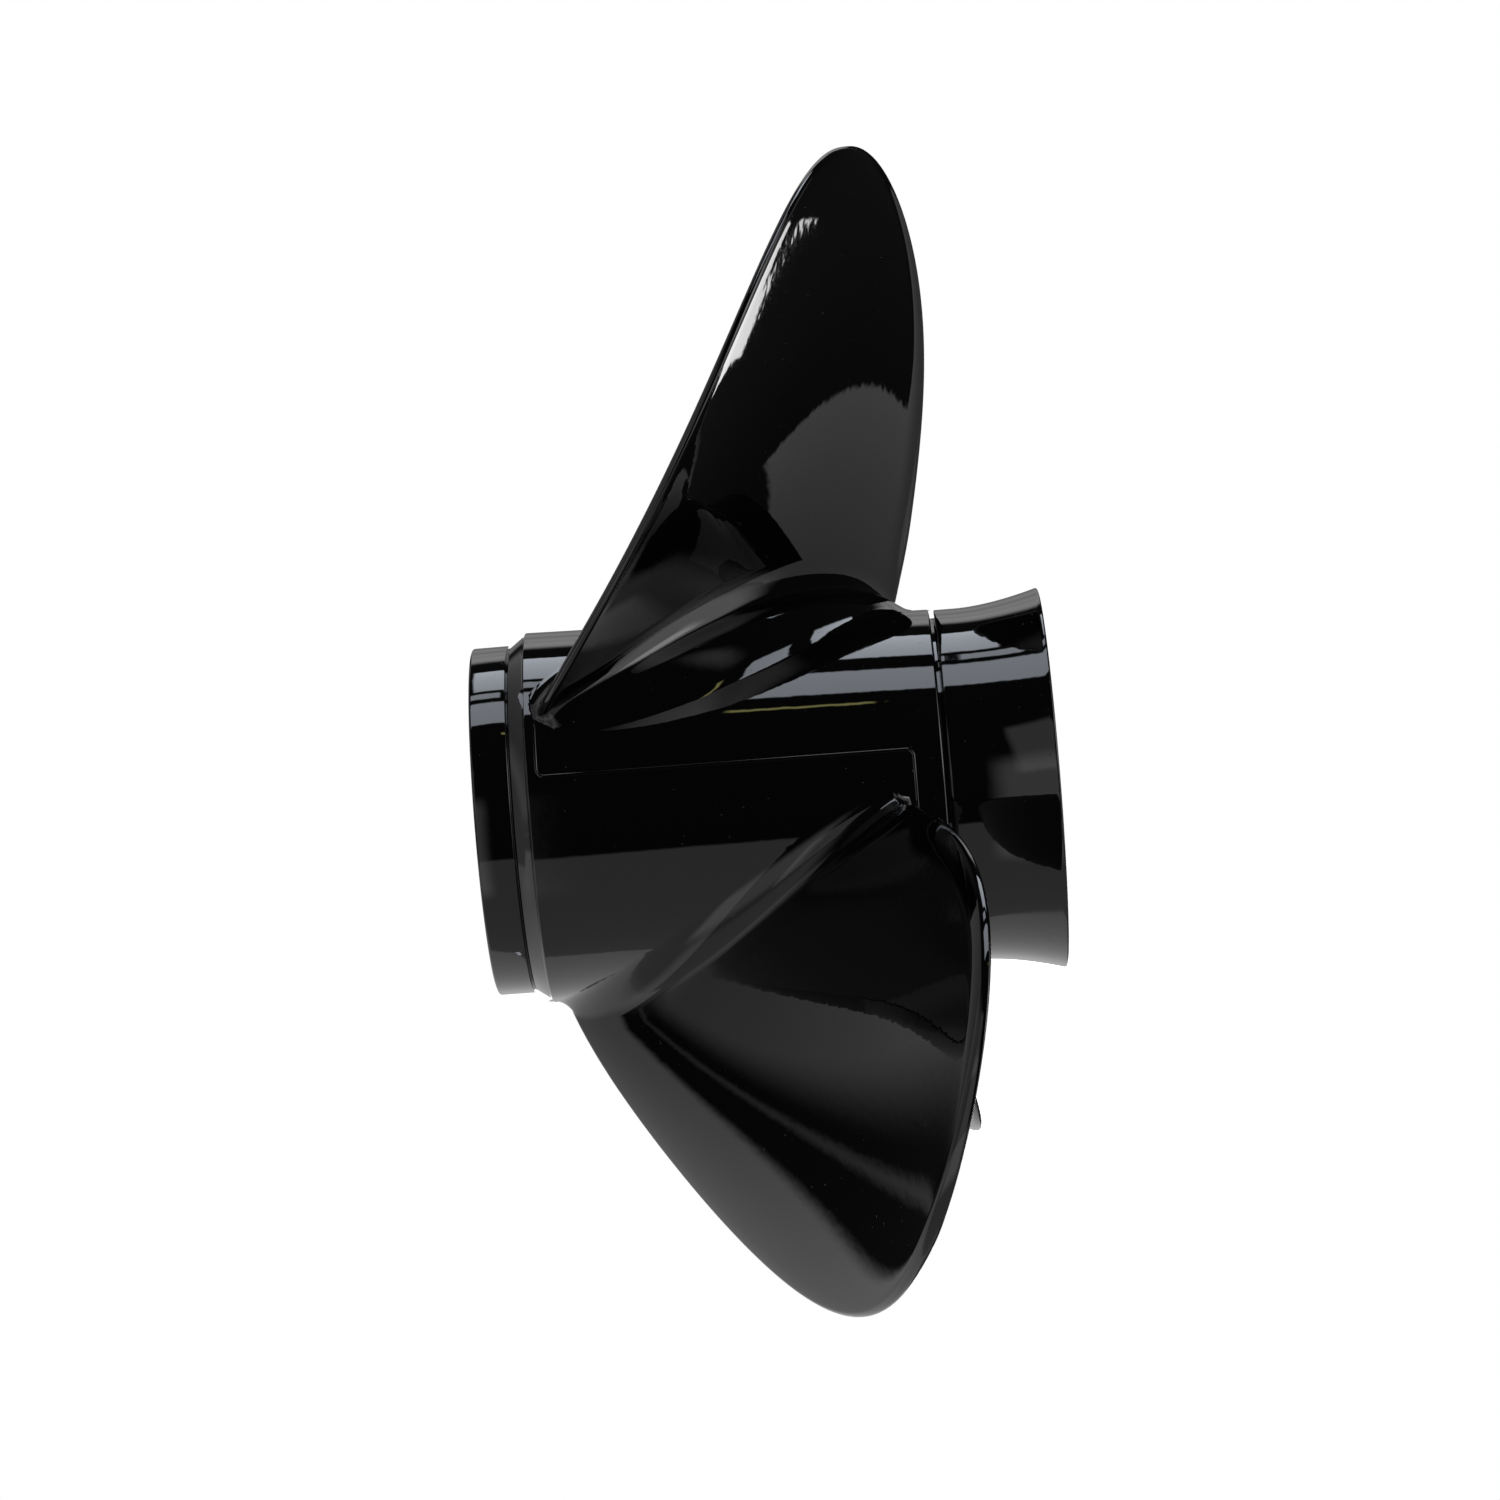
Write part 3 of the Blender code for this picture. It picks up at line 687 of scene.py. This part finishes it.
def nut_outline(start, end, seat):
    """(x, radius, hexagon) stations round the nut's outside, from its front face back to its thread."""
    hexagon_end = end - NUT_COLLAR
    corner = NUT_FLATS / math.sqrt(3)
    collar = NUT_FLATS / 2 - NUT_COLLAR_INSET
    stations = []
    for k in range(CHAMFER_STEPS + 1):
        run, drop, rise = FRONT_CHAMFER
        bend = math.sin(math.pi / 2 * k / CHAMFER_STEPS)
        stations.append((start + run * k / CHAMFER_STEPS, corner - drop + rise * bend, True))
    for k in range(CHAMFER_STEPS, 0, -1):
        run, drop, rise = BACK_CHAMFER
        bend = math.sin(math.pi / 2 * k / CHAMFER_STEPS)
        stations.append((hexagon_end - run * k / CHAMFER_STEPS, corner - drop + rise * bend, True))
    run, rise = NUT_COLLAR_FOOT
    stations += [(hexagon_end, collar + rise, True), (hexagon_end + run, collar, False)]
    stations += [(end - back, collar - drop, False) for back, drop in NUT_COLLAR_CORNER]
    stations += [(end - back, radius, False) for back, radius in NUT_ROLLED_LIP]
    seat_radius = NUT_ROLLED_LIP[-1][1]
    return stations + [(seat, seat_radius, False), (seat, NUT_THREAD_RELIEF, False)]


def make_nut(material):
    """A chamfered hexagon with a round collar, a cut thread and a seat for the nylon ring."""
    start, end, _ = span("prop_nut")
    seat = end - NYLON_SEAT
    rings = []
    sixth = math.tau / 6
    for x, limit, hexagon in nut_outline(start, end, seat):
        ring = []
        for k in range(NUT_STEPS):
            angle = math.tau * k / NUT_STEPS
            flat = NUT_FLATS / 2 / math.cos((angle + sixth / 2) % sixth - sixth / 2)
            ring.append(on_shaft(x, min(limit, flat) if hexagon else limit, angle))
        rings.append(ring)
    turns = int((seat - start) / THREAD_PITCH * THREAD_STEPS)
    for k in range(turns):
        x = seat - THREAD_MARGIN - (seat - start - 2 * THREAD_MARGIN) * k / (turns - 1)
        lead = max(THREAD_LEAD - (x - start), 0)
        ring = []
        for n in range(NUT_STEPS):
            angle = math.tau * n / NUT_STEPS
            ring.append(on_shaft(x, max(thread_radius(x, angle), THREAD_CLEAR + lead), angle))
        rings.append(ring)
    bm = bmesh.new()
    made = [[bm.verts.new(p) for p in ring] for ring in rings]
    add_rings(bm, made + made[:1])
    carry(make_piece("prop_nut_fine", bm, material, 30), "prop_nut", "nut")


def make_insert(material):
    start, end, radius = span("nylon_insert")
    run, rise = NYLON_MOUTH
    profile = [
        (start, NYLON_BORE + rise, 0.3),
        (start, radius, 0.3),
        (end, radius, 0.3),
        (end, NYLON_BORE + rise, 0.3),
        (end - run, NYLON_BORE, 0.5),
        (start + run, NYLON_BORE, 0.5),
    ]
    bm = turned(rounded(profile, 0.4), TURNED_STEPS // 2)
    carry(make_piece("nylon_insert_fine", bm, material), "nylon_insert", "nut")


# --- materials ---------------------------------------------------------------------------------

PAINT_BLACK = (0.0012, 0.0012, 0.0013)
DUST_GREY = (0.012, 0.012, 0.012)

# Heights of the surface detail, in metres
ORANGE_PEEL = 0.000012
SPECK_HEIGHT = 0.00003
TOOL_MARK = 0.000007
METAL_GRAIN = 0.000004
MOULD_GRAIN = 0.00006


def shader_material(name, color, roughness, metallic=0.0):
    material = bpy.data.materials.new(name)
    material.use_nodes = True
    tree = material.node_tree
    shader = tree.nodes["Principled BSDF"]
    shader.inputs["Base Color"].default_value = (*color, 1)
    shader.inputs["Roughness"].default_value = roughness
    shader.inputs["Metallic"].default_value = metallic
    return material, tree, shader


def object_place(tree):
    place = tree.nodes.get("Place") or tree.nodes.new("ShaderNodeTexCoord")
    place.name = "Place"
    return place.outputs["Object"]


def noise(tree, scale, detail=2.0, roughness=0.5):
    node = tree.nodes.new("ShaderNodeTexNoise")
    node.inputs["Scale"].default_value = scale
    node.inputs["Detail"].default_value = detail
    node.inputs["Roughness"].default_value = roughness
    tree.links.new(object_place(tree), node.inputs["Vector"])
    return node.outputs["Fac"]


def lathe_marks(tree, scale):
    """Fine rings about the shaft, as a turning tool leaves."""
    node = tree.nodes.new("ShaderNodeTexWave")
    node.wave_type = "RINGS"
    node.rings_direction = "X"
    node.inputs["Scale"].default_value = scale
    node.inputs["Distortion"].default_value = 1.5
    node.inputs["Detail"].default_value = 3.0
    node.inputs["Detail Scale"].default_value = 0.4
    tree.links.new(object_place(tree), node.inputs["Vector"])
    return node.outputs["Fac"]


def ramp(tree, value, low, high, at=(0.0, 1.0)):
    node = tree.nodes.new("ShaderNodeValToRGB")
    for element, position, level in zip(node.color_ramp.elements, at, (low, high)):
        element.position = position
        element.color = (*level, 1) if isinstance(level, tuple) else (level, level, level, 1)
    tree.links.new(value, node.inputs["Fac"])
    return node.outputs["Color"]


def bump(tree, height, distance, before=None):
    node = tree.nodes.new("ShaderNodeBump")
    node.inputs["Distance"].default_value = distance
    tree.links.new(height, node.inputs["Height"])
    if before:
        tree.links.new(before, node.inputs["Normal"])
    return node.outputs["Normal"]


def gloss_black_paint():
    """Sprayed black enamel: deep gloss with a faint orange peel and a few specks of dust."""
    material, tree, shader = shader_material("gloss_black_paint", PAINT_BLACK, 0.025)
    peel = bump(tree, noise(tree, 260, 1.0), ORANGE_PEEL)
    specks = ramp(tree, noise(tree, 1100, 1.0), 0.0, 1.0, (0.79, 0.83))
    tree.links.new(bump(tree, specks, SPECK_HEIGHT, peel), shader.inputs["Normal"])
    gloss = ramp(tree, noise(tree, 900, 3.0), 0.015, 0.035, (0.35, 0.7))
    tree.links.new(gloss, shader.inputs["Roughness"])
    dust = ramp(tree, noise(tree, 1500, 2.0), PAINT_BLACK, DUST_GREY, (0.76, 0.84))
    tree.links.new(dust, shader.inputs["Base Color"])
    return material


def turned_metal(name, color, dull, roughness, marks):
    """Machined metal: tool marks round the shaft, and a slight tarnish in patches."""
    material, tree, shader = shader_material(name, color, roughness, 1.0)
    tarnish = ramp(tree, noise(tree, 70, 6.0, 0.6), color, dull, (0.4, 0.75))
    tree.links.new(tarnish, shader.inputs["Base Color"])
    wear = ramp(tree, noise(tree, 400, 4.0), roughness * 0.75, roughness * 1.35)
    tree.links.new(wear, shader.inputs["Roughness"])
    rings = bump(tree, lathe_marks(tree, marks), TOOL_MARK)
    tree.links.new(bump(tree, noise(tree, 1300, 3.0), METAL_GRAIN, rings), shader.inputs["Normal"])
    return material


def moulded(name, color, worn, roughness, grain):
    """Moulded rubber or nylon: a fine grain, and a bloom that varies in patches."""
    material, tree, shader = shader_material(name, color, roughness)
    bloom = ramp(tree, noise(tree, 90, 5.0, 0.6), color, worn, (0.35, 0.75))
    tree.links.new(bloom, shader.inputs["Base Color"])
    sheen = ramp(tree, noise(tree, 300, 3.0), roughness * 0.8, min(roughness * 1.2, 1.0))
    tree.links.new(sheen, shader.inputs["Roughness"])
    tree.links.new(bump(tree, noise(tree, grain, 4.0), MOULD_GRAIN), shader.inputs["Normal"])
    return material


def make_hardware():
    bronze = turned_metal("bronze", (0.6, 0.4, 0.18), (0.36, 0.22, 0.1), 0.3, 420)
    steel = turned_metal("stainless", (0.62, 0.62, 0.63), (0.5, 0.49, 0.48), 0.24, 520)
    rubber = moulded("rubber", (0.012, 0.012, 0.013), (0.035, 0.034, 0.033), 0.6, 900)
    nylon = moulded("nylon", (0.8, 0.79, 0.73), (0.7, 0.68, 0.6), 0.45, 700)
    make_bush(bronze)
    make_cushion(rubber)
    make_thrust_washer(bronze)
    make_drive_washer(steel)
    make_flat_washer(steel)
    make_nut(steel)
    make_insert(nylon)


# --- stage -------------------------------------------------------------------------------------

CAMERA_ELEVATION = 7.33
CAMERA_YAW = -0.92
CAMERA_ROLL = 4.54
CAMERA_PLACE = (75.7, 20.74, 1388.0)
LENS = 115.8
SENSOR = 36.0
CLIP_END = 50

FLOOR_DROP = 0.45
FLOOR_SIZE = 30.0

# The studio that the paint mirrors. A board is (from, to) azimuths, (from, to) elevations, the softness
# of its edge and its brightness. Angles are in degrees, with azimuth 0 towards -Y and 90 towards +X.
ROOM_LEVEL = 0.02
SEAM_MARGIN = 10
BOARDS = (
    ((285, 446), (-95, -17.5), 1.0, 0.46),
    ((165, 285), (-95, -10.5), 1.2, 0.62),
    ((165, 285), (-95, -26), 12.0, 0.4),
    ((86, 165), (-95, -52), 5.0, 0.4),
    ((205, 285), (1.5, 45), 4.0, 0.36),
    ((205, 285), (-4.9, -3.9), 0.6, 0.16),
    ((86, 124.5), (-22, 16), 0.4, 0.4),
    ((163, 197), (-17, -1), 2.0, 1.3),
    ((163, 197), (2, 41), 2.0, 0.26),
    ((163, 197), (12, 41), 3.0, 0.24),
    ((163, 197), (25, 41), 3.0, 0.34),
    ((163, 197), (33, 41), 3.0, 0.35),
    ((-41, -20), (12, 40), 2.0, 0.55),
    ((-84, -42), (-30, 40), 8.0, 0.5),
    ((38, 84), (-20, 55), 9.0, 1.7),
    ((37, 62), (12, 40), 5.0, 2.8),
    ((322, 348), (-40, 20), 6.0, 0.75),
)
# Windows in the ceiling: (from, to) of x and of y on a plane one unit up, softness, brightness and tint
DAYLIGHT = (0.84, 0.9, 1.0)
FOLIAGE = (0.95, 0.9, 0.35)
WINDOWS = (
    ((-0.19, 0.33), (0.25, 0.7), 0.012, 4.6, DAYLIGHT),
    ((-0.3, 0.02), (0.115, 0.2), 0.01, 3.6, DAYLIGHT),
    ((-0.46, 0.27), (-0.26, 0.05), 0.012, 3.9, DAYLIGHT),
    ((0.05, 0.19), (-0.44, -0.41), 0.008, 3.0, FOLIAGE),
)
# A far window, low behind the upper blade: where azimuth plus a share of elevation passes the edge
FAR_WINDOW_SHARE = 0.84
FAR_WINDOW_EDGE = 135.7
FAR_WINDOW_SPAN = (-15.6, -9.1)
FAR_WINDOW_LEVEL = 3.1
FAR_WINDOW_SOFT = (0.15, 0.12)
LOWEST_CEILING = 0.05


def view_axes():
    """The camera's right, up and back directions."""
    tilt, yaw, roll = (math.radians(a) for a in (CAMERA_ELEVATION, CAMERA_YAW, CAMERA_ROLL))
    ahead = Vector((1, 0, 0))
    rise = Vector((0, math.sin(tilt), math.cos(tilt)))
    near = Vector((0, -math.cos(tilt), math.sin(tilt)))
    level = ahead * math.cos(yaw) + near * math.sin(yaw)
    right = level * math.cos(roll) - rise * math.sin(roll)
    up = level * math.sin(roll) + rise * math.cos(roll)
    back = near * math.cos(yaw) - ahead * math.sin(yaw)
    return right, up, back


def make_camera():
    data = bpy.data.cameras.new("camera")
    data.lens = LENS
    data.sensor_width = SENSOR
    data.clip_end = CLIP_END
    camera = bpy.data.objects.new("camera", data)
    axes = view_axes()
    place = sum((axis * size * MM for axis, size in zip(axes, CAMERA_PLACE)), Vector())
    camera.matrix_world = Matrix.Translation(place) @ Matrix(axes).transposed().to_4x4()
    bpy.context.scene.collection.objects.link(camera)
    bpy.context.scene.camera = camera


def make_floor():
    """A plain pale floor some way below the part, which only the camera sees."""
    material = bpy.data.materials.new("pale_floor")
    material.use_nodes = True
    tree = material.node_tree
    glow = tree.nodes.new("ShaderNodeEmission")
    glow.inputs["Color"].default_value = (1, 1, 1, 1)
    tree.links.new(glow.outputs["Emission"], tree.nodes["Material Output"].inputs["Surface"])
    bm = bmesh.new()
    bmesh.ops.create_grid(bm, x_segments=1, y_segments=1, size=FLOOR_SIZE)
    mesh = bpy.data.meshes.new("floor")
    bm.to_mesh(mesh)
    bm.free()
    floor = link("floor", mesh, material)
    floor.location.z = cad_box[0][2] - FLOOR_DROP
    floor.visible_glossy = False
    floor.visible_diffuse = False
    floor.visible_transmission = False


class Sums:
    """Small sums written as shader nodes."""

    def __init__(self, tree):
        self.tree = tree

    def math(self, operation, *values):
        node = self.tree.nodes.new("ShaderNodeMath")
        node.operation = operation
        for socket, value in zip(node.inputs, values):
            self.put(socket, value)
        return node.outputs[0]

    def put(self, socket, value):
        if isinstance(value, (int, float)):
            socket.default_value = value
        else:
            self.tree.links.new(value, socket)

    def above(self, value, edge, soft):
        node = self.tree.nodes.new("ShaderNodeMapRange")
        node.interpolation_type = "SMOOTHSTEP"
        for socket, number in zip(node.inputs[1:], (edge - soft, edge + soft)):
            socket.default_value = number
        self.tree.links.new(value, node.inputs[0])
        return node.outputs[0]

    def within(self, value, span, soft):
        return self.math(
            "SUBTRACT", self.above(value, span[0], soft), self.above(value, span[1], soft)
        )


def studio(tree):
    """The colour that the studio shows in each direction."""
    sums = Sums(tree)
    place = tree.nodes.new("ShaderNodeTexCoord")
    split = tree.nodes.new("ShaderNodeSeparateXYZ")
    tree.links.new(place.outputs["Generated"], split.inputs[0])
    x, y, z = split.outputs
    forward = sums.math("MULTIPLY", y, -1.0)
    azimuth = sums.math("DEGREES", sums.math("ARCTAN2", x, forward))
    starts = sorted({across[0] for across, *_ in BOARDS})
    turns = {}
    for start in starts:
        # The azimuth counts from a margin before the board, so that its seam lies outside the board.
        past = sums.math("FLOORED_MODULO", sums.math("SUBTRACT", azimuth, start - SEAM_MARGIN), 360.0)
        turns[start] = sums.math("ADD", start, past)
    elevation = sums.math("DEGREES", sums.math("ARCSINE", z))
    level = ROOM_LEVEL
    for across, upright, soft, power in BOARDS:
        turn = turns[across[0]]
        span = (across[0] + SEAM_MARGIN, across[1] + SEAM_MARGIN)
        mask = sums.math("MULTIPLY", sums.within(elevation, upright, soft), sums.within(turn, span, soft))
        level = sums.math("MULTIPLY_ADD", mask, power, level)
    slant = sums.math("MULTIPLY_ADD", elevation, FAR_WINDOW_SHARE, azimuth)
    beyond = sums.above(slant, FAR_WINDOW_EDGE, FAR_WINDOW_SOFT[0])
    mask = sums.math("MULTIPLY", beyond, sums.within(elevation, FAR_WINDOW_SPAN, FAR_WINDOW_SOFT[1]))
    level = sums.math("MULTIPLY_ADD", mask, FAR_WINDOW_LEVEL, level)
    color = tree.nodes.new("ShaderNodeCombineXYZ")
    for socket in color.inputs:
        sums.put(socket, level)
    total = color.outputs[0]
    height = sums.math("MAXIMUM", z, LOWEST_CEILING)
    plan_x, plan_y = sums.math("DIVIDE", x, height), sums.math("DIVIDE", y, height)
    for span_x, span_y, soft, power, tint in WINDOWS:
        mask = sums.math("MULTIPLY", sums.within(plan_x, span_x, soft), sums.within(plan_y, span_y, soft))
        glow = tree.nodes.new("ShaderNodeVectorMath")
        glow.operation = "MULTIPLY_ADD"
        tree.links.new(mask, glow.inputs[0])
        glow.inputs[1].default_value = [power * part for part in tint]
        tree.links.new(total, glow.inputs[2])
        total = glow.outputs[0]
    return total


def make_stage():
    world = bpy.data.worlds.new("studio")
    bpy.context.scene.world = world
    world.use_nodes = True
    tree = world.node_tree
    back = tree.nodes["Background"]
    tree.links.new(studio(tree), back.inputs["Color"])
    path = tree.nodes.new("ShaderNodeLightPath")
    mix = tree.nodes.new("ShaderNodeMixShader")
    white = tree.nodes.new("ShaderNodeBackground")
    white.inputs["Color"].default_value = (1, 1, 1, 1)
    tree.links.new(path.outputs["Is Camera Ray"], mix.inputs["Fac"])
    tree.links.new(back.outputs["Background"], mix.inputs[1])
    tree.links.new(white.outputs["Background"], mix.inputs[2])
    tree.links.new(mix.outputs["Shader"], tree.nodes["World Output"].inputs["Surface"])
    bpy.context.scene.view_settings.view_transform = "Standard"
    make_floor()


def main():
    paint = gloss_black_paint()
    make_casting(paint)
    make_diffuser_ring(paint)
    make_hardware()
    make_camera()
    make_stage()


main()
